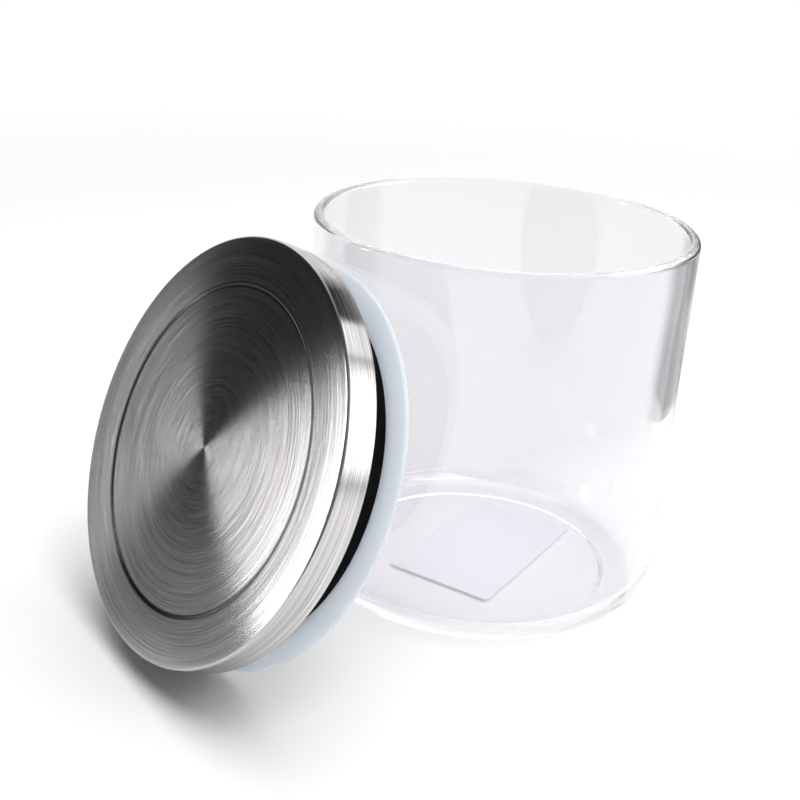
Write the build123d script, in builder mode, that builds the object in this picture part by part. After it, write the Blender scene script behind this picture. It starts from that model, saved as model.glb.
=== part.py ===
from build123d import *
from math import cos, radians, sin
import os

# An empty glass candle jar stands on the table, and its steel lid leans against the outside of its wall.
# Millimetres. The origin is the centre of the jar's foot on the table, +Z is up the jar, and the lid is on -Y.

# jar: one piece of clear glass
jar_radius = 47.5
jar_height = 95.5
wall = 2.6
heel_radius = 10.0
floor_top = 3.4
punt_depth = 0.8
foot_inner_radius = 35.5
punt_radius = 34.3

# blank label in the hollow under the jar
label_length = 50.0
label_width = 30.0
label_thickness = 0.12
label_corner = 1.5
label_center = (-1.5, 5.0)
label_turn = 111.5

# lid, in its own section: radius out from its axis, height along its outward normal from the recessed disc
lean = 23.4
lean_gap = 0.3
cover_radius = 49.1
cover_sheet = 0.5
disc_radius = 37.5
step_height = 0.3
step_width = 0.6
crest_radius = 48.5
crest_height = 0.48
skirt_end = -7.2
hem_radius = 47.9

flange_radius = 48.4
flange_top = -1.8
flange_plate = 1.8
flange_rim = 1.5
flange_end = -6.6
neck_radius = 41.9
cup_radius = 39.5
cup_floor = -17.2
plug_end = -19.2
plug_chamfer = 0.4
rib_count = 3
rib_thickness = 1.6
groove_top = -16.5
groove_bottom = -18.3
groove_depth = 1.0
pad_radius = 38.0

seal_radius = 48.1
seal_top = -16.4
seal_thickness = 1.0

# The lid stands on the seal's rounded edge and leans with the same edge on the jar's wall.
seal_edge = seal_thickness / 2
edge_circle = seal_radius - seal_edge
edge_height = seal_top - seal_edge
lid_reach = jar_radius + lean_gap + seal_edge + edge_circle * sin(radians(lean)) - edge_height * cos(radians(lean))
lid_rise = edge_circle * cos(radians(lean)) + seal_edge - edge_height * sin(radians(lean))

lid_center = Vector(0, -lid_reach, lid_rise)
lid_normal = Vector(0, -cos(radians(lean)), sin(radians(lean)))
lid_axis = Axis(lid_center, lid_normal)
lid_up = Vector(0, sin(radians(lean)), cos(radians(lean)))
lid_plane = Plane(origin=lid_center, x_dir=(1, 0, 0), z_dir=lid_normal)
lid_section = Plane(origin=lid_center, x_dir=lid_up, z_dir=lid_up.cross(lid_normal))

label_along = Vector(1, 0, 0).rotate(Axis.Z, label_turn)
label_plane = Plane(origin=(*label_center, punt_depth), x_dir=label_along, z_dir=(0, 0, 1))

os.makedirs("parts", exist_ok=True)


def jar_outline():
    """The jar's section, from the foot out and up to the rim and back down inside."""
    inner = jar_radius - wall
    inner_heel = heel_radius - wall
    Polyline((0, punt_depth), (punt_radius, punt_depth), (foot_inner_radius, 0), (jar_radius - heel_radius, 0))
    TangentArc((jar_radius - heel_radius, 0), (jar_radius, heel_radius), tangent=(1, 0))
    Line((jar_radius, heel_radius), (jar_radius, jar_height - wall / 2))
    TangentArc((jar_radius, jar_height - wall / 2), (inner, jar_height - wall / 2), tangent=(0, 1))
    Line((inner, jar_height - wall / 2), (inner, floor_top + inner_heel))
    TangentArc((inner, floor_top + inner_heel), (inner - inner_heel, floor_top), tangent=(0, -1))
    Polyline((inner - inner_heel, floor_top), (0, floor_top), (0, punt_depth))


with BuildPart() as jar:
    with BuildSketch(Plane.XZ):
        with BuildLine():
            jar_outline()
        make_face()
    revolve(axis=Axis.Z)
jar.part.label = "jar"
export_step(jar.part, "parts/jar.step")


# The label is stuck to the roof of the hollow, so its sheet hangs down from there.
with BuildPart() as base_label:
    with BuildSketch(label_plane):
        RectangleRounded(label_length, label_width, label_corner)
    extrude(amount=-label_thickness)
base_label.part.label = "base_label"
export_step(base_label.part, "parts/base_label.step")


def cover_outer():
    """Upper face of the pressed sheet: recessed disc, low step, ring that rises to the crest, rolled edge."""
    crest = (crest_radius, crest_height)
    corner = (cover_radius, crest_height - cover_radius + crest_radius)
    Polyline((0, 0), (disc_radius, 0), (disc_radius + step_width, step_height), crest)
    TangentArc(crest, corner, tangent=(1, 0))
    Line(corner, (cover_radius, skirt_end))


def cover_inner():
    """Lower face of the same sheet, one sheet thickness further in, with the hem turned under it."""
    inside = cover_radius - cover_sheet
    crest = (crest_radius, crest_height - cover_sheet)
    corner = (inside, crest_height - cover_radius + crest_radius)
    Polyline(
        (cover_radius, skirt_end),
        (hem_radius, skirt_end),
        (hem_radius, skirt_end + cover_sheet),
        (inside, skirt_end + cover_sheet),
        corner,
    )
    TangentArc(corner, crest, tangent=(0, 1))
    Polyline(
        crest,
        (disc_radius + step_width, step_height - cover_sheet),
        (disc_radius, -cover_sheet),
        (0, -cover_sheet),
        (0, 0),
    )


with BuildPart() as lid_cover:
    with BuildSketch(lid_section):
        with BuildLine():
            cover_outer()
            cover_inner()
        make_face()
    revolve(axis=lid_axis)
lid_cover.part.label = "lid_cover"
export_step(lid_cover.part, "parts/lid_cover.step")


# foam disc glued between the cover's recessed disc and the plug's ribs
with BuildPart() as cover_pad:
    with BuildSketch(lid_plane.offset(flange_top)):
        Circle(pad_radius)
    extrude(amount=-cover_sheet - flange_top)
cover_pad.part.label = "cover_pad"
export_step(cover_pad.part, "parts/cover_pad.step")


def plug_outline():
    """The plug's section: a cup whose flange fills the cover, with the seal's groove near its closed end."""
    groove_radius = neck_radius - groove_depth
    Polyline(
        (0, plug_end),
        (neck_radius - plug_chamfer, plug_end),
        (neck_radius, plug_end + plug_chamfer),
        (neck_radius, groove_bottom),
        (groove_radius, groove_bottom),
        (groove_radius, groove_top),
        (neck_radius, groove_top),
        (neck_radius, flange_top - flange_plate),
        (flange_radius - flange_rim, flange_top - flange_plate),
        (flange_radius - flange_rim, flange_end),
        (flange_radius, flange_end),
        (flange_radius, flange_top),
        (cup_radius, flange_top),
        (cup_radius, cup_floor),
        (0, cup_floor),
        (0, plug_end),
    )


with BuildPart() as lid_plug:
    with BuildSketch(lid_section):
        with BuildLine():
            plug_outline()
        make_face()
    revolve(axis=lid_axis)
    with BuildSketch(lid_plane.offset(cup_floor)):
        with PolarLocations(0, rib_count, angular_range=180):
            Rectangle(2 * cup_radius + rib_thickness, rib_thickness)
    extrude(amount=flange_top - cup_floor)
lid_plug.part.label = "lid_plug"
export_step(lid_plug.part, "parts/lid_plug.step")


def seal_outline():
    """The seal's section: a bead in the plug's groove and one thin wide lip with a full round edge."""
    groove_radius = neck_radius - groove_depth
    Polyline(
        (edge_circle, seal_top),
        (neck_radius, seal_top),
        (neck_radius, groove_top),
        (groove_radius, groove_top),
        (groove_radius, groove_bottom),
        (neck_radius, groove_bottom),
        (neck_radius, seal_top - seal_thickness),
        (edge_circle, seal_top - seal_thickness),
    )
    TangentArc((edge_circle, seal_top - seal_thickness), (edge_circle, seal_top), tangent=(1, 0))


with BuildPart() as seal_ring:
    with BuildSketch(lid_section):
        with BuildLine():
            seal_outline()
        make_face()
    revolve(axis=lid_axis)
seal_ring.part.label = "seal_ring"
export_step(seal_ring.part, "parts/seal_ring.step")


# The lid tips about the line where its crest plane would meet the table, until the crest lies on the table.
crest_center = lid_center + lid_normal * crest_height
tip_line = crest_center - lid_up * (crest_center.Z / cos(radians(lean)))
print("lid centre", lid_center)
print("tipping line", tip_line, "tips", 90 + lean, "degrees")
print("mouth bore", jar_radius - wall, "from", floor_top + heel_radius - wall, "to", jar_height - wall / 2)
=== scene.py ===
from math import cos, pi, radians, sin

import bmesh
import bpy
import numpy as np
from mathutils import Matrix, Quaternion, Vector


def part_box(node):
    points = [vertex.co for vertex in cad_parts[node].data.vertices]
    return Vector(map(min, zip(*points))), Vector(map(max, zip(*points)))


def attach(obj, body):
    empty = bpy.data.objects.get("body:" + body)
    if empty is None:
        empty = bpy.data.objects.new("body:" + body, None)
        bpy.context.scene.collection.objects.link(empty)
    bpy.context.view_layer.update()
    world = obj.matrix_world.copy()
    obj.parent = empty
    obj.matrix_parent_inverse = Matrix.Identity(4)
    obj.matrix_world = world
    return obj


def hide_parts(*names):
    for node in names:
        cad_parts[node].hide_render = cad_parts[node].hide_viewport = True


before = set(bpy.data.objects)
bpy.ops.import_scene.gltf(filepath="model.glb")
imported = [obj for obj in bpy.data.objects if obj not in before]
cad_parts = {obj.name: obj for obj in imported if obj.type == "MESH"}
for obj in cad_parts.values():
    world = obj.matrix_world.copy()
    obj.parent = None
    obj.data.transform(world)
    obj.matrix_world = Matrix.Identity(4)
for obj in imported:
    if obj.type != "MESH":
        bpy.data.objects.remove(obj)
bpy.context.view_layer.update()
print("frame loaded:", sorted(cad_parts))

millimetre = 0.001  # in metres; the shapes below are in millimetres
aroundSteps = 288
uvPerMetre = 10  # the brush UV counts this much for each metre along an outline
arcGap = 0.001  # in millimetres, so that the two arcs of a full-round edge don't share a point


# Corners are (radius, height, rounding). Each rounding is an arc tangent to both sides: its reach along a side is
# rounding / tan(half the angle between the sides), and its middle is rounding / sin(half) from the corner. A
# straight run gets a point close to each end, so that smooth shading keeps the flats flat.
def roundedOutline(corners, arcSteps=10, edgeStep=0.35, runStep=4.0):
    points = [np.array(corner[:2], float) for corner in corners]
    outline = []
    last = len(corners) - 1
    for i, corner in enumerate(corners):
        if i in (0, last) or corner[2] == 0:
            outline.append(points[i][None])
            continue
        before = points[i - 1] - points[i]
        after = points[i + 1] - points[i]
        before /= np.linalg.norm(before)
        after /= np.linalg.norm(after)
        half = np.arccos(np.clip(before @ after, -1, 1)) / 2
        reach = corner[2] / np.tan(half)
        middle = before + after
        middle /= np.linalg.norm(middle)
        center = points[i] + middle * corner[2] / np.sin(half)
        start = points[i] + before * reach - center
        end = points[i] + after * reach - center
        turn = np.arctan2(start[0] * end[1] - start[1] * end[0], start @ end)
        steps = turn * np.linspace(0, 1, arcSteps + 1)
        arc = np.stack([start[0] * np.cos(steps) - start[1] * np.sin(steps),
                        start[0] * np.sin(steps) + start[1] * np.cos(steps)], 1)
        outline.append(center + arc)
    pieces = [outline[0]]
    for previous, following in zip(outline, outline[1:]):
        a, b = previous[-1], following[0]
        length = np.linalg.norm(b - a)
        if length > 3 * edgeStep:  # shorter runs have no room for points of their own
            inner = np.linspace(edgeStep, length - edgeStep, max(2, int(length / runStep) + 2))
            pieces.append(a + (b - a) * (inner / length)[:, None])
        pieces.append(following)
    line = np.concatenate(pieces)
    keep = np.r_[True, np.linalg.norm(np.diff(line, axis=0), axis=1) > 1e-6]
    return line[keep]


# Carries an outline round an axis: point = place @ (r cos a, r sin a, h). The outline starts and ends on the axis
# or is a closed loop. The brush UV has the length along the outline in u and the turn, 0 to 1, in v.
def turnedSurface(name, outline, place, shape=None):
    closedLoop = np.allclose(outline[0], outline[-1])
    line = outline[:-1] if closedLoop else outline
    count = len(line)
    angles = np.linspace(0, 2 * pi, aroundSteps, endpoint=False)
    radius = np.repeat(line[:, :1], aroundSteps, 1)
    height = np.repeat(line[:, 1:], aroundSteps, 1)
    angle = np.repeat(angles[None], count, 0)
    if shape is not None:
        radius, height = shape(radius, height, angle)
    grid = np.stack([radius * np.cos(angle), radius * np.sin(angle), height], -1).reshape(-1, 3)
    rows = count if closedLoop else count - 1
    row, column = np.meshgrid(np.arange(rows), np.arange(aroundSteps), indexing="ij")
    nextRow = (row + 1) % count
    nextColumn = (column + 1) % aroundSteps
    faces = np.stack([row * aroundSteps + column, row * aroundSteps + nextColumn,
                      nextRow * aroundSteps + nextColumn, nextRow * aroundSteps + column], -1).reshape(-1, 4)
    along = np.r_[0, np.cumsum(np.linalg.norm(np.diff(np.vstack([line, line[:1]]), axis=0), axis=1))]
    u = np.stack([along[row], along[row], along[row + 1], along[row + 1]], -1).reshape(-1)
    v = np.stack([column, column + 1, column + 1, column], -1).reshape(-1) / aroundSteps
    matrix = np.array(place)
    grid = grid * millimetre @ matrix[:3, :3].T + matrix[:3, 3]
    mesh = bpy.data.meshes.new(name)
    mesh.from_pydata(grid.tolist(), [], faces.tolist())
    layer = mesh.uv_layers.new(name="brush")
    layer.data.foreach_set("uv", np.stack([u * millimetre * uvPerMetre, v], 1).astype(np.float32).ravel())
    return finishedPiece(name, mesh, smooth=True)


# A closed skin over a grid of points in rings: every ring joins up with the next, and its ends meet.
def ringSkin(name, grid):
    rings, around = grid.shape[:2]
    row, column = np.meshgrid(np.arange(rings - 1), np.arange(around), indexing="ij")
    after = (column + 1) % around
    faces = np.stack([row * around + column, row * around + after, (row + 1) * around + after,
                      (row + 1) * around + column], -1).reshape(-1, 4)
    mesh = bpy.data.meshes.new(name)
    mesh.from_pydata((grid.reshape(-1, 3) * millimetre).tolist(), [], faces.tolist())
    return finishedPiece(name, mesh, smooth=False)


# Merges the points that fall together where an outline meets its axis, and turns the faces outwards.
def finishedPiece(name, mesh, smooth):
    work = bmesh.new()
    work.from_mesh(mesh)
    bmesh.ops.remove_doubles(work, verts=work.verts, dist=1e-7)
    bmesh.ops.recalc_face_normals(work, faces=work.faces)
    work.to_mesh(mesh)
    work.free()
    mesh.polygons.foreach_set("use_smooth", np.full(len(mesh.polygons), smooth))
    mesh.update()
    piece = bpy.data.objects.new(name, mesh)
    bpy.context.scene.collection.objects.link(piece)
    return piece


# The material takes the place of whatever the piece had.
def useMaterial(piece, material):
    piece.data.materials.clear()
    piece.data.materials.append(material)


# A finished piece moves with its body and stands for one node of the frame.
def fitPiece(piece, material, body, node):
    useMaterial(piece, material)
    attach(piece, body)
    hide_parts(node)


# A short way to write a node tree: a socket's value is a number, a colour or another node's output.
class NodeSheet:

    def __init__(self, tree):
        self.tree = tree
        tree.nodes.clear()

    def put(self, socket, value):
        if isinstance(value, bpy.types.NodeSocket):
            self.tree.links.new(value, socket)
        else:
            socket.default_value = value

    def add(self, kind, settings=None, **sockets):
        node = self.tree.nodes.new(kind)
        for key, value in (settings or {}).items():
            setattr(node, key, value)
        for key, value in sockets.items():
            self.put(node.inputs[key.replace("_", " ")], value)
        return node

    def math(self, operation, a, b=0.0):
        node = self.add("ShaderNodeMath", {"operation": operation})
        self.put(node.inputs[0], a)
        self.put(node.inputs[1], b)
        return node.outputs[0]

    # a smooth step of the value from low to high, going from toLow to toHigh
    def spread(self, value, low, high, toLow=0.0, toHigh=1.0):
        node = self.add("ShaderNodeMapRange", {"interpolation_type": "SMOOTHSTEP"}, Value=value, From_Min=low,
                        From_Max=high, To_Min=toLow, To_Max=toHigh)
        return node.outputs["Result"]

    def noise(self, vector, scale, detail=2.0, roughness=0.5):
        node = self.add("ShaderNodeTexNoise", Vector=vector, Scale=scale, Detail=detail, Roughness=roughness)
        return node.outputs["Fac"]

    def mixColor(self, factor, a, b):
        node = self.add("ShaderNodeMix", {"data_type": "RGBA"})
        self.put(node.inputs[0], factor)
        self.put(node.inputs[6], a)
        self.put(node.inputs[7], b)
        return node.outputs[2]

    def mixShader(self, factor, a, b):
        node = self.add("ShaderNodeMixShader")
        self.put(node.inputs[0], factor)
        self.put(node.inputs[1], a.outputs[0])
        self.put(node.inputs[2], b.outputs[0])
        return node

    def finish(self, shader, volume=None, kind="ShaderNodeOutputMaterial"):
        out = self.add(kind, Surface=shader.outputs[0])
        if volume is not None:
            self.put(out.inputs["Volume"], volume.outputs[0])


# A material with an empty sheet to write its nodes on.
def newMaterial(name):
    material = bpy.data.materials.new(name)
    material.use_nodes = True
    return material, NodeSheet(material.node_tree)


marksShape = {"smudgeDetail": 3.0, "smudgeRoughness": 0.6, "smudgeFrom": 0.35, "smudgeTo": 0.7,
              "hairlineDetail": 1.0, "hairlineRoughness": 0.4, "noiseMiddle": 0.5, "hairlineHalf": 0.004}


# Marks of handling that every finish shares: broad smudges, a smooth step of a soft noise, and hairlines, the thin
# bands where a second noise passes its middle value: step(|noise - middle|) from hairlineHalf down to 0.
def makeHandlingMarks():
    m = marksShape
    group = bpy.data.node_groups.new("handlingMarks", "ShaderNodeTree")
    for name, kind in (("Place", "NodeSocketVector"), ("Smudge Scale", "NodeSocketFloat"),
                       ("Hairline Scale", "NodeSocketFloat")):
        group.interface.new_socket(name=name, in_out="INPUT", socket_type=kind)
    for name in ("Smudge", "Hairline"):
        group.interface.new_socket(name=name, in_out="OUTPUT", socket_type="NodeSocketFloat")
    sheet = NodeSheet(group)
    given = sheet.add("NodeGroupInput").outputs
    cloud = sheet.noise(given["Place"], given["Smudge Scale"], m["smudgeDetail"], m["smudgeRoughness"])
    smudge = sheet.spread(cloud, m["smudgeFrom"], m["smudgeTo"])
    wander = sheet.noise(given["Place"], given["Hairline Scale"], m["hairlineDetail"], m["hairlineRoughness"])
    offMiddle = sheet.math("ABSOLUTE", sheet.math("SUBTRACT", wander, m["noiseMiddle"]))
    hairline = sheet.spread(offMiddle, m["hairlineHalf"], 0.0)
    result = sheet.add("NodeGroupOutput")
    sheet.put(result.inputs["Smudge"], smudge)
    sheet.put(result.inputs["Hairline"], hairline)
    return group


handlingMarks = makeHandlingMarks()


# The marks group, placed in one material with the scales of its finish. It gives the outputs Smudge and Hairline.
def addMarks(sheet, place, finish):
    node = sheet.add("ShaderNodeGroup", {"node_tree": handlingMarks}, Place=place,
                     Smudge_Scale=finish["smudgeScale"], Hairline_Scale=finish["hairlineScale"])
    return node.outputs


# The lid's own frame: its axis is z, and heights count from the recessed disc of the steel cover.
lean = radians(23.4)
lidNormal = Vector((0, -cos(lean), sin(lean)))
lidUp = Vector((0, sin(lean), cos(lean)))
padDepth = 1.15 * millimetre  # from the disc's face to the middle of the pad
lidPlace = Matrix.Identity(4)
lidPlace.col[0][:3] = (1, 0, 0)
lidPlace.col[1][:3] = lidUp
lidPlace.col[2][:3] = lidNormal
# the pad is a flat disc square to the lid's axis, so its middle is on that axis, a known depth under the cover
padLow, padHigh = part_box("cover_pad")
lidPlace.translation = (padLow + padHigh) / 2 + lidNormal * padDepth
lidMiddle = lidPlace.translation

view = {"distance": 0.30536, "height": 0.17029, "azimuth": 318.667, "heading": 142.998, "down": 22.334,
        "roll": 4.045, "lens": 56.507, "sensor": 36, "nearest": 0.01}


# The camera looks along its heading, tipped down, and then rolls about its line of sight.
def makeCamera():
    around = radians(view["azimuth"])
    heading, down, roll = (radians(view[key]) for key in ("heading", "down", "roll"))
    forward = Vector((cos(heading) * cos(down), sin(heading) * cos(down), -sin(down)))
    right = forward.cross(Vector((0, 0, 1))).normalized()
    up = right.cross(forward)
    camera = bpy.data.objects.new("camera", bpy.data.cameras.new("camera"))
    camera.data.lens = view["lens"]
    camera.data.sensor_width = view["sensor"]
    camera.data.clip_start = view["nearest"]
    matrix = Matrix.Identity(4)
    matrix.col[0][:3] = right * cos(roll) + up * sin(roll)
    matrix.col[1][:3] = up * cos(roll) - right * sin(roll)
    matrix.col[2][:3] = -forward
    matrix.translation = (view["distance"] * cos(around), view["distance"] * sin(around), view["height"])
    camera.matrix_world = matrix
    bpy.context.scene.collection.objects.link(camera)
    bpy.context.scene.camera = camera


makeCamera()
print("camera placed")

jarShape = {"radius": 47.5, "height": 95.5, "wall": 2.6, "heel": 10.0, "floor": 3.4, "punt": 0.8,
            "puntRadius": 34.3, "puntRounding": 1.2, "footRadius": 35.5, "footRounding": 0.8, "innerHeel": 7.4}
# each sine of the wave has a size, turns round the wall, radians per millimetre of height, and a shift
jarWave = {"depth": 0.06, "fromRadius": 20, "fromHeight": 8, "rise": 15, "belowRim": 4, "fall": 8,
           "sines": ((1.0, 3, 0.06, 0.0), (0.6, 5, -0.09, 1.0), (0.4, 2, 0.22, 0.0))}
glassFinish = {"color": (0.905, 0.9, 0.92, 1), "ior": 1.47, "haze": 0.02, "depthColor": (0.85, 0.88, 0.68, 1),
               "depthDensity": 0.8, "shadow": (0.985, 0.985, 0.99, 1), "grazingShadow": (0.5, 0.5, 0.52, 1),
               "grazingPower": 4.0, "smudgeScale": 35.0, "hairlineScale": 12.0}


# Blown glass is never quite even: slow waves round and up the wall push its inside in and out, and they fade away
# towards the base and the rim. The radius gains depth * (sum of size * sin(turns a + perHeight h + shift)) * fade.
def glassWave(radius, height, angle):
    inside = (radius > jarWave["fromRadius"]) & (radius < jarShape["radius"] - jarShape["wall"] / 2)
    wave = sum(size * np.sin(turns * angle + perHeight * height + shift)
               for size, turns, perHeight, shift in jarWave["sines"])
    fade = np.clip((height - jarWave["fromHeight"]) / jarWave["rise"], 0, 1)
    fade = fade * np.clip((jarShape["height"] - jarWave["belowRim"] - height) / jarWave["fall"], 0, 1)
    return radius + np.where(inside, jarWave["depth"] * wave * fade, 0), height


# The section goes from the middle of the punt out over the foot and the heel, up the outside, over the full-round
# rim, and down the inside to the middle of the floor.
def makeJar():
    s = jarShape
    rim = s["wall"] / 2 - arcGap
    inside = s["radius"] - s["wall"]
    outline = roundedOutline([
        (0, s["punt"], 0), (s["puntRadius"], s["punt"], s["puntRounding"]),
        (s["footRadius"], 0, s["footRounding"]), (s["radius"], 0, s["heel"]), (s["radius"], s["height"], rim),
        (inside, s["height"], rim), (inside, s["floor"], s["innerHeel"]), (0, s["floor"], 0)], arcSteps=14)
    return turnedSurface("jarGlass", outline, Matrix.Identity(4), glassWave)


# Clear glass, with a faint haze in its hairlines and a slight green cast where light travels far inside it.
def clearGlass():
    finish = glassFinish
    material, sheet = newMaterial("clearGlass")
    marks = addMarks(sheet, sheet.add("ShaderNodeTexCoord").outputs["Object"], finish)
    haze = sheet.math("MULTIPLY", sheet.math("MULTIPLY", marks["Smudge"], marks["Hairline"]), finish["haze"])
    shader = sheet.add("ShaderNodeBsdfPrincipled", Base_Color=finish["color"], IOR=finish["ior"], Roughness=haze,
                       Transmission_Weight=1.0)
    depth = sheet.add("ShaderNodeVolumeAbsorption", Color=finish["depthColor"], Density=finish["depthDensity"])
    # lamps light what is behind clear glass, so shadow and diffuse rays go almost straight through, but a wall
    # that they graze holds some back: mix(shadow, grazingShadow, facing ** grazingPower)
    path = sheet.add("ShaderNodeLightPath")
    passing = sheet.math("MAXIMUM", path.outputs["Is Shadow Ray"], path.outputs["Is Diffuse Ray"])
    grazing = sheet.math("POWER", sheet.add("ShaderNodeLayerWeight").outputs["Facing"], finish["grazingPower"])
    passed = sheet.mixColor(grazing, finish["shadow"], finish["grazingShadow"])
    through = sheet.add("ShaderNodeBsdfTransparent", Color=passed)
    sheet.finish(sheet.mixShader(passing, shader, through), depth)
    return material


fitPiece(makeJar(), clearGlass(), "jar", "jar")
print("jar made")

coverShape = {"radius": 49.1, "sheet": 0.5, "disc": 37.5, "step": 0.3, "stepWidth": 0.6, "crownRadius": 43.5,
              "crown": 0.46, "crownRounding": 90, "crest": 0.42, "corner": 0.6, "end": -7.2, "hem": 47.9,
              "tight": 0.1, "stepBend": 0.12, "hemBend": 0.22, "backBend": 0.2}
# the brush lines come in three sizes: noise per unit of the brush UV, noise radius round the axis, and share
steelFinish = {"dark": (0.415, 0.402, 0.398, 1), "light": (0.745, 0.727, 0.722, 1), "smooth": 0.19, "rough": 0.21,
               "lines": ((240, 0.8, 0.1), (520, 1.5, 0.5), (950, 2.4, 0.4)), "toneFrom": 0.36, "toneTo": 0.64,
               "roughFrom": 0.34, "roughTo": 0.66, "smudgeRough": 0.003, "anisotropic": 0.9, "bump": 0.05,
               # the step colour, its band and its strength paint shade into the step between disc and ring
               "bumpDepth": 0.00001, "stepShadeColor": (0.07, 0.064, 0.064, 1), "stepShadeInner": 0.35, "stepShadeOuter": 0.85,
               "stepShadeStrength": 0.87, "scratch": 0.2, "smudgeScale": 45.0, "hairlineScale": 9.0}


# A pressed sheet: flat disc, low step, ring with a slight crown, tight corner, skirt, and the hem turned inwards,
# then the same way back one sheet thickness further in.
def makeCover():
    s = coverShape
    inside = s["radius"] - s["sheet"]
    ring = s["disc"] + s["stepWidth"]
    outline = roundedOutline([
        (0, 0, 0), (s["disc"], 0, s["tight"]), (ring, s["step"], s["stepBend"]),
        (s["crownRadius"], s["crown"], s["crownRounding"]), (s["radius"], s["crest"], s["corner"]),
        (s["radius"], s["end"], s["hemBend"]), (s["hem"], s["end"], s["tight"]),
        (s["hem"], s["end"] + s["sheet"], s["tight"]), (inside, s["end"] + s["sheet"], s["tight"]),
        (inside, s["crest"] - s["sheet"], s["tight"]), (ring, s["step"] - s["sheet"], s["backBend"]),
        (s["disc"], -s["sheet"], s["backBend"]), (0, -s["sheet"], 0)], arcSteps=8, runStep=1.2)
    return turnedSurface("steelCover", outline, lidPlace)


# Brush lines run round the axis: noise over (cos turn, sin turn, length along the outline), stretched so that each
# line is long round the axis and narrow across it. The highlight spreads across the lines.
def brushedSteel():
    finish = steelFinish
    material, sheet = newMaterial("brushedSteel")
    uv = sheet.add("ShaderNodeUVMap", {"uv_map": "brush"}).outputs[0]
    split = sheet.add("ShaderNodeSeparateXYZ", Vector=uv)
    along = split.outputs[0]
    turn = sheet.math("MULTIPLY", split.outputs[1], 2 * pi)
    grain = None
    for acrossLines, aroundLines, share in finish["lines"]:
        # the turn goes round a circle in noise space, so the lines meet at the seam
        x = sheet.math("MULTIPLY", sheet.math("COSINE", turn), aroundLines)
        y = sheet.math("MULTIPLY", sheet.math("SINE", turn), aroundLines)
        z = sheet.math("MULTIPLY", along, acrossLines)
        point = sheet.add("ShaderNodeCombineXYZ", X=x, Y=y, Z=z).outputs[0]
        part = sheet.math("MULTIPLY", sheet.noise(point, 1.0, 1.0), share)
        grain = part if grain is None else sheet.math("ADD", grain, part)
    tone = sheet.spread(grain, finish["toneFrom"], finish["toneTo"])
    color = sheet.mixColor(tone, finish["dark"], finish["light"])
    # painted shade in the step between disc and ring: the steel's colour is darkened along a line about a
    # millimetre wide
    stepMiddle = (coverShape["disc"] + coverShape["stepWidth"] / 2) * millimetre * uvPerMetre
    offStep = sheet.math("ABSOLUTE", sheet.math("SUBTRACT", along, stepMiddle))
    paintedStepShade = sheet.spread(offStep, finish["stepShadeOuter"] * millimetre * uvPerMetre,
                          finish["stepShadeInner"] * millimetre * uvPerMetre, 0.0, finish["stepShadeStrength"])
    color = sheet.mixColor(paintedStepShade, color, finish["stepShadeColor"])
    marks = addMarks(sheet, sheet.add("ShaderNodeTexCoord").outputs["Object"], finish)
    scratch = sheet.math("MULTIPLY", sheet.math("MULTIPLY", marks["Smudge"], marks["Hairline"]), finish["scratch"])
    color = sheet.mixColor(scratch, color, finish["light"])
    lineRough = sheet.spread(grain, finish["roughFrom"], finish["roughTo"], finish["smooth"], finish["rough"])
    rough = sheet.math("ADD", lineRough, sheet.math("MULTIPLY", marks["Smudge"], finish["smudgeRough"]))
    bump = sheet.add("ShaderNodeBump", Strength=finish["bump"], Distance=finish["bumpDepth"], Height=grain)
    tangent = sheet.add("ShaderNodeTangent", {"direction_type": "UV_MAP", "uv_map": "brush"})
    sheet.finish(sheet.add("ShaderNodeBsdfPrincipled", Base_Color=color, Roughness=rough, Metallic=1.0,
                           Anisotropic=finish["anisotropic"], Normal=bump.outputs[0], Tangent=tangent.outputs[0]))
    return material


fitPiece(makeCover(), brushedSteel(), "lid", "lid_cover")
print("cover made")

plugShape = {"flange": 48.4, "top": -1.8, "plate": 1.8, "rim": 1.5, "flangeEnd": -6.6, "neck": 41.9, "end": -19.2,
             "cup": 39.5, "cupFloor": -17.2, "grooveTop": -16.5, "grooveBottom": -18.3, "groove": 1.0,
             "tight": 0.1, "lipBend": 0.2, "bend": 0.3, "endBend": 0.4, "cupBend": 0.5}
plasticFinish = {"dark": (0.002, 0.002, 0.0022, 1), "light": (0.004, 0.004, 0.0042, 1), "smooth": 0.28,
                 "rough": 0.42, "shine": 0.06, "bump": 0.15, "bumpDepth": 0.00005, "grainScale": 2600.0,
                 "grainDetail": 2.0, "grainRoughness": 0.6, "smudgeScale": 60.0, "hairlineScale": 20.0}


# A cup, open towards the cover, with a flange that fills the cover's rim and a groove for the seal near its end.
def makePlug():
    s = plugShape
    rimInside = s["flange"] - s["rim"]
    plate = s["top"] - s["plate"]
    bottom = s["neck"] - s["groove"]
    outline = roundedOutline([
        (0, s["end"], 0), (s["neck"], s["end"], s["endBend"]), (s["neck"], s["grooveBottom"], s["tight"]),
        (bottom, s["grooveBottom"], s["tight"]), (bottom, s["grooveTop"], s["tight"]),
        (s["neck"], s["grooveTop"], s["tight"]), (s["neck"], plate, s["bend"]), (rimInside, plate, s["bend"]),
        (rimInside, s["flangeEnd"], s["lipBend"]), (s["flange"], s["flangeEnd"], s["endBend"]),
        (s["flange"], s["top"], s["bend"]), (s["cup"], s["top"], s["lipBend"]),
        (s["cup"], s["cupFloor"], s["cupBend"]), (0, s["cupFloor"], 0)])
    return turnedSurface("blackPlug", outline, lidPlace)


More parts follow.
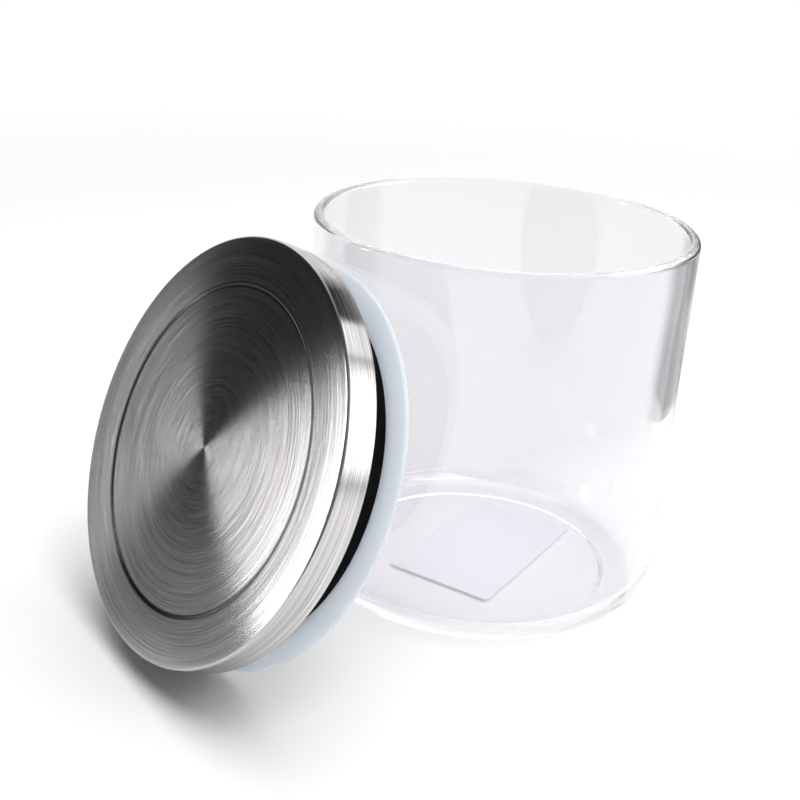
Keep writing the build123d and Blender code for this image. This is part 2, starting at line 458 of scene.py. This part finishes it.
# Moulded plastic: a fine even grain in the bump, and colour and roughness that follow the marks.
def blackPlastic():
    finish = plasticFinish
    material, sheet = newMaterial("blackPlastic")
    place = sheet.add("ShaderNodeTexCoord").outputs["Object"]
    marks = addMarks(sheet, place, finish)
    grain = sheet.noise(place, finish["grainScale"], finish["grainDetail"], finish["grainRoughness"])
    rough = sheet.spread(marks["Smudge"], 0.0, 1.0, finish["smooth"], finish["rough"])
    worn = sheet.math("MAXIMUM", marks["Smudge"], marks["Hairline"])
    color = sheet.mixColor(worn, finish["dark"], finish["light"])
    bump = sheet.add("ShaderNodeBump", Strength=finish["bump"], Distance=finish["bumpDepth"], Height=grain)
    sheet.finish(sheet.add("ShaderNodeBsdfPrincipled", Base_Color=color, Roughness=rough,
                           Specular_IOR_Level=finish["shine"], Normal=bump.outputs[0]))
    return material


fitPiece(makePlug(), blackPlastic(), "lid", "lid_plug")
print("plug made")

sealShape = {"radius": 48.1, "top": -16.4, "thick": 1.0, "neck": 41.9, "groove": 1.0, "grooveTop": -16.5,
             "grooveBottom": -18.3, "start": 44.0, "tight": 0.1}
siliconeFinish = {"dark": (0.87, 0.91, 0.96, 1), "light": (0.93, 0.96, 0.99, 1), "smooth": 0.3, "rough": 0.45,
                  "under": 0.8, "underRadius": (0.8, 0.9, 1.0), "underDepth": 0.004, "ior": 1.41, "through": 0.55,
                  "cloudScale": 90.0, "cloudDetail": 3.0, "cloudRoughness": 0.55, "hairlineRough": 0.05,
                  "smudgeScale": 70.0, "hairlineScale": 25.0}


# The section is a thin flap with a full-round edge, and a bead that fills the plug's groove.
def makeSeal():
    s = sealShape
    bead = s["neck"] - s["groove"]
    under = s["top"] - s["thick"]
    edge = s["thick"] / 2 - arcGap
    outline = roundedOutline([
        (s["start"], s["top"], 0), (s["neck"], s["top"], 0), (s["neck"], s["grooveTop"], 0),
        (bead, s["grooveTop"], s["tight"]), (bead, s["grooveBottom"], s["tight"]),
        (s["neck"], s["grooveBottom"], s["tight"]), (s["neck"], under, 0), (s["radius"], under, edge),
        (s["radius"], s["top"], edge), (s["start"], s["top"], 0)])
    return turnedSurface("siliconeSeal", outline, lidPlace)


# Milky silicone: cloudy colour, light scattered under the surface, and light that comes through from behind.
def milkySilicone():
    finish = siliconeFinish
    material, sheet = newMaterial("milkySilicone")
    place = sheet.add("ShaderNodeTexCoord").outputs["Object"]
    marks = addMarks(sheet, place, finish)
    cloud = sheet.noise(place, finish["cloudScale"], finish["cloudDetail"], finish["cloudRoughness"])
    color = sheet.mixColor(cloud, finish["dark"], finish["light"])
    rough = sheet.math("ADD", sheet.spread(marks["Smudge"], 0.0, 1.0, finish["smooth"], finish["rough"]),
                       sheet.math("MULTIPLY", marks["Hairline"], finish["hairlineRough"]))
    shader = sheet.add("ShaderNodeBsdfPrincipled", Base_Color=color, Roughness=rough, IOR=finish["ior"],
                       Subsurface_Weight=finish["under"], Subsurface_Radius=finish["underRadius"],
                       Subsurface_Scale=finish["underDepth"])
    behind = sheet.add("ShaderNodeBsdfTranslucent", Color=color)
    sheet.finish(sheet.mixShader(finish["through"], shader, behind))
    return material


fitPiece(makeSeal(), milkySilicone(), "lid", "seal_ring")
print("seal made")

labelShape = {"long": 50.0, "wide": 30.0, "corner": 1.5, "thick": 0.08, "center": (-1.5, 5.0), "turn": 111.5,
              "roof": 0.8, "gap": 0.02, "firstShare": 0.15, "rings": 8, "around": 96}
labelFinish = {"dark": (0.84, 0.84, 0.865, 1), "light": (0.875, 0.875, 0.9, 1), "smooth": 0.45, "rough": 0.6,
               "through": 0.65, "fibreScale": 900.0, "fibreDetail": 4.0, "fibreRoughness": 0.6,
               "smudgeScale": 80.0, "hairlineScale": 30.0}


# A thin sheet with round corners: each ring is the outline scaled about the middle, and the rings run out over the
# top face to the edge and back under the lower face.
def makeLabel():
    s = labelShape
    a = np.linspace(0, 2 * pi, s["around"], endpoint=False)
    quarter = np.floor(a / (pi / 2))
    signX = np.where((quarter == 0) | (quarter == 3), 1, -1)
    signY = np.where(quarter < 2, 1, -1)
    edgeX = signX * (s["long"] / 2 - s["corner"]) + s["corner"] * np.cos(a)
    edgeY = signY * (s["wide"] / 2 - s["corner"]) + s["corner"] * np.sin(a)
    out = np.linspace(s["firstShare"], 1, s["rings"])
    shares = np.r_[0, out, 1, out[::-1], 0]
    top = s["roof"] - s["gap"]
    z = np.where(np.arange(len(shares)) <= s["rings"], top, top - s["thick"])
    turn = radians(s["turn"])
    x = shares[:, None] * edgeX
    y = shares[:, None] * edgeY
    grid = np.stack([s["center"][0] + x * cos(turn) - y * sin(turn),
                     s["center"][1] + x * sin(turn) + y * cos(turn), np.repeat(z[:, None], len(a), 1)], -1)
    return ringSkin("blankLabel", grid)


# Blank film with a fine mottle. It is thin, so most of a lamp's light passes on to the table under it.
def labelFilm():
    finish = labelFinish
    material, sheet = newMaterial("labelFilm")
    place = sheet.add("ShaderNodeTexCoord").outputs["Object"]
    fibre = sheet.noise(place, finish["fibreScale"], finish["fibreDetail"], finish["fibreRoughness"])
    color = sheet.mixColor(fibre, finish["dark"], finish["light"])
    marks = addMarks(sheet, place, finish)
    rough = sheet.spread(marks["Smudge"], 0.0, 1.0, finish["smooth"], finish["rough"])
    shader = sheet.add("ShaderNodeBsdfPrincipled", Base_Color=color, Roughness=rough)
    shadowRay = sheet.add("ShaderNodeLightPath").outputs["Is Shadow Ray"]
    passing = sheet.math("MULTIPLY", shadowRay, finish["through"])
    sheet.finish(sheet.mixShader(passing, shader, sheet.add("ShaderNodeBsdfTransparent")))
    return material


padFinish = {"dark": (0.62, 0.61, 0.58, 1), "light": (0.8, 0.79, 0.76, 1), "cells": 1800.0, "bump": 0.4,
             "bumpDepth": 0.0002, "smooth": 0.82, "rough": 0.95, "smudgeScale": 60.0, "hairlineScale": 20.0}


# Closed-cell foam: small round cells in colour and bump.
def padFoam():
    finish = padFinish
    material, sheet = newMaterial("padFoam")
    place = sheet.add("ShaderNodeTexCoord").outputs["Object"]
    marks = addMarks(sheet, place, finish)
    cells = sheet.add("ShaderNodeTexVoronoi", Vector=place, Scale=finish["cells"]).outputs["Distance"]
    color = sheet.mixColor(cells, finish["dark"], finish["light"])
    rough = sheet.spread(marks["Smudge"], 0.0, 1.0, finish["smooth"], finish["rough"])
    bump = sheet.add("ShaderNodeBump", Strength=finish["bump"], Distance=finish["bumpDepth"], Height=cells)
    sheet.finish(sheet.add("ShaderNodeBsdfPrincipled", Base_Color=color, Roughness=rough, Normal=bump.outputs[0]))
    return material


fitPiece(makeLabel(), labelFilm(), "jar", "base_label")
useMaterial(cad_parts["cover_pad"], padFoam())
print("label and pad finished")

studio = {"floorHalf": 4.0, "floorDrop": 0.0002, "floorColor": (0.9, 0.9, 0.9, 1), "fadeFrom": 0.3, "fadeTo": 0.7,
          "mirrorClearX": -0.05, "mirrorClearShare": 0.74, "darkSide": 0.02, "brightSide": 0.35, "sideAzimuth": 36,
          "sideFrom": -0.7, "sideTo": 0.7, "backdrop": 1.0, "ceiling": 0.45, "ceilingFrom": 0.5,
          "ceilingTo": 0.85, "backAzimuth": 160, "backFrom": 0.77, "backTo": 0.9, "backGlow": 0.95}


# A pale table that fades into the white backdrop with distance, by the smooth step of sqrt(x*x + y*y).
def makeFloor():
    half = studio["floorHalf"]
    z = -studio["floorDrop"]
    mesh = bpy.data.meshes.new("floor")
    mesh.from_pydata([(-half, -half, z), (half, -half, z), (half, half, z), (-half, half, z)], [], [(0, 1, 2, 3)])
    floor = bpy.data.objects.new("floor", mesh)
    bpy.context.scene.collection.objects.link(floor)
    material, sheet = newMaterial("paleFloor")
    place = sheet.add("ShaderNodeTexCoord").outputs["Object"]
    x, y = sheet.add("ShaderNodeSeparateXYZ", Vector=place).outputs[:2]
    away = sheet.math("SQRT", sheet.math("ADD", sheet.math("MULTIPLY", x, x), sheet.math("MULTIPLY", y, y)))
    fade = sheet.spread(away, studio["fadeFrom"], studio["fadeTo"])
    # a staged dark reflection: on the lid's side the table turns clear to mirror rays alone, so the lid mirrors
    # mostly a dark room there and not the table, while the table seen straight on goes on
    mirrored = sheet.add("ShaderNodeLightPath").outputs["Is Glossy Ray"]
    edge = sheet.math("MULTIPLY", sheet.spread(x, 0.0, studio["mirrorClearX"], 0.0, studio["mirrorClearShare"]), mirrored)
    paint = sheet.add("ShaderNodeBsdfDiffuse", Color=studio["floorColor"])
    clear = sheet.add("ShaderNodeBsdfTransparent")
    sheet.finish(sheet.mixShader(sheet.math("MAXIMUM", fade, edge), paint, clear))
    useMaterial(floor, material)


# A rectangular lamp at a direction and distance from its target, facing it. Glow is its brightness where white
# paper is 1, and power = glow * pi * width * height.
def softBox(name, target, azimuth, elevation, distance, width, height, glow, roll=0.0, mirrored=True):
    a, e = radians(azimuth), radians(elevation)
    toLamp = Vector((cos(a) * cos(e), sin(a) * cos(e), sin(e)))
    data = bpy.data.lights.new(name, "AREA")
    data.shape = "RECTANGLE"
    data.size = width
    data.size_y = height
    data.energy = glow * pi * width * height
    lamp = bpy.data.objects.new(name, data)
    lamp.location = target + toLamp * distance
    facing = (-toLamp).to_track_quat("-Z", "Y")
    lamp.rotation_euler = (facing @ Quaternion((0, 0, 1), radians(roll))).to_euler()
    lamp.visible_camera = False
    lamp.visible_glossy = mirrored
    bpy.context.scene.collection.objects.link(lamp)


# A soft-edged card seen only in mirrors or through glass. It faces its target from a direction and a distance, and
# fades out towards its four edges by the smooth step of |2u - 1| and |2v - 1| from fade to 1.
def makeCard(name, target, azimuth, elevation, distance, width, height, color, fade, roll=0.0, glassOnly=True):
    a, e = radians(azimuth), radians(elevation)
    toCard = Vector((cos(a) * cos(e), sin(a) * cos(e), sin(e)))
    right = toCard.cross(Vector((0, 0, 1))).normalized()
    up = right.cross(toCard)
    tilt = radians(roll)
    across = (right * cos(tilt) + up * sin(tilt)) * width / 2
    upward = (up * cos(tilt) - right * sin(tilt)) * height / 2
    middle = target + toCard * distance
    mesh = bpy.data.meshes.new(name)
    corners = [middle - across - upward, middle + across - upward, middle + across + upward,
               middle - across + upward]
    mesh.from_pydata(corners, [], [(0, 1, 2, 3)])
    layer = mesh.uv_layers.new(name="card")
    layer.data.foreach_set("uv", (0, 0, 1, 0, 1, 1, 0, 1))
    card = bpy.data.objects.new(name, mesh)
    bpy.context.scene.collection.objects.link(card)
    material, sheet = newMaterial(name)
    uv = sheet.add("ShaderNodeUVMap", {"uv_map": "card"}).outputs[0]
    split = sheet.add("ShaderNodeSeparateXYZ", Vector=uv)
    solid = 1.0
    for axis in range(2):
        offMiddle = sheet.math("SUBTRACT", sheet.math("MULTIPLY", split.outputs[axis], 2.0), 1.0)
        inside = sheet.spread(sheet.math("ABSOLUTE", offMiddle), 1.0, fade)
        solid = sheet.math("MULTIPLY", inside, solid)
    paint = sheet.add("ShaderNodeEmission", Color=color)
    clear = sheet.add("ShaderNodeBsdfTransparent")
    sheet.finish(sheet.mixShader(solid, clear, paint))
    useMaterial(card, material)
    card.visible_camera = False
    card.visible_diffuse = False
    card.visible_shadow = False
    card.visible_transmission = glassOnly
    card.visible_glossy = not glassOnly


# The backdrop is white to the eye and through the glass, and greyer overhead, where only thick glass bends the
# sight: that draws the outlines of the rim and the base. Mirrors see the room: dark on the lid's side, brighter on
# the right, and the white backdrop where it stands behind the jar.
def makeWorld():
    world = bpy.data.worlds.new("studio")
    bpy.context.scene.world = world
    world.use_nodes = True
    sheet = NodeSheet(world.node_tree)
    path = sheet.add("ShaderNodeLightPath")
    seen = sheet.math("MAXIMUM", path.outputs["Is Camera Ray"], path.outputs["Is Transmission Ray"])
    direction = sheet.add("ShaderNodeTexCoord").outputs["Generated"]
    x, y, up = sheet.add("ShaderNodeSeparateXYZ", Vector=direction).outputs
    level = sheet.math("SQRT", sheet.math("SUBTRACT", 1.0, sheet.math("MULTIPLY", up, up)))
    toward = {}
    for key in ("sideAzimuth", "backAzimuth"):
        a = radians(studio[key])
        toward[key] = sheet.math("ADD", sheet.math("MULTIPLY", x, cos(a)), sheet.math("MULTIPLY", y, sin(a)))
    room = sheet.spread(toward["sideAzimuth"], studio["sideFrom"], studio["sideTo"], studio["darkSide"],
                        studio["brightSide"])
    behind = sheet.spread(sheet.math("DIVIDE", toward["backAzimuth"], level), studio["backFrom"], studio["backTo"],
                          0.0, studio["backGlow"])
    ceiling = sheet.spread(up, studio["ceilingFrom"], studio["ceilingTo"], studio["backdrop"], studio["ceiling"])
    white = sheet.add("ShaderNodeBackground", Strength=ceiling)
    dim = sheet.add("ShaderNodeBackground", Strength=sheet.math("MAXIMUM", room, behind))
    for background in (white, dim):
        background.inputs["Color"].default_value = (1, 1, 1, 1)
    sheet.finish(sheet.mixShader(seen, dim, white), kind="ShaderNodeOutputWorld")


makeFloor()
between = Vector((0, -0.04, 0.05))  # between the jar and the lid
softBox("keyRight", between, azimuth=12, elevation=58, distance=0.9, width=0.5, height=0.5, glow=4.0,
        mirrored=False)
softBox("sideWindow", lidMiddle, azimuth=53, elevation=17, distance=0.9, width=0.7, height=0.62, glow=2.0)
softBox("frontLeft", lidMiddle, azimuth=232.5, elevation=7.5, distance=0.8, width=0.09, height=0.40, glow=12.0,
        roll=6.0)
softBox("overhead", between, azimuth=100, elevation=80, distance=1.0, width=1.2, height=1.2, glow=2.0,
        mirrored=False)
# the thick edge of the glass bends the sight to the grey card, and shows it as a dark band down the right wall
wallMiddle = Vector((0, 0, 0.06))
makeCard("greyCard", wallMiddle, azimuth=85, elevation=0, distance=0.15, width=0.15, height=0.2,
         color=(0.22, 0.22, 0.23, 1), fade=0.55)


# A point of the cover's edge, a turn in degrees round the lid's axis.
def coverEdge(turn):
    a = radians(turn)
    return lidPlace @ (Vector((cos(a), sin(a), 0)) * coverShape["radius"] * millimetre)


# two cards are mirrored in the lid's skirt, a dark one near its top and a white one lower down
makeCard("darkCard", coverEdge(60.5), azimuth=112, elevation=24, distance=0.35, width=0.13, height=0.36,
         color=(0.01, 0.01, 0.01, 1), fade=0.65, roll=-14, glassOnly=False)
makeCard("whiteCard", coverEdge(50), azimuth=92, elevation=27.8, distance=0.35, width=0.12, height=0.36,
         color=(1.6, 1.6, 1.6, 1), fade=0.65, roll=-27, glassOnly=False)
makeWorld()
cycles = bpy.context.scene.cycles
cycles.caustics_refractive = False
cycles.caustics_reflective = False
lightSteps = 128  # light runs far along inside the glass wall before it comes out at the rim
cycles.max_bounces = lightSteps
cycles.glossy_bounces = lightSteps
cycles.transmission_bounces = lightSteps
cycles.transparent_max_bounces = lightSteps
bpy.context.scene.view_settings.view_transform = "Standard"
print("floor and light set")
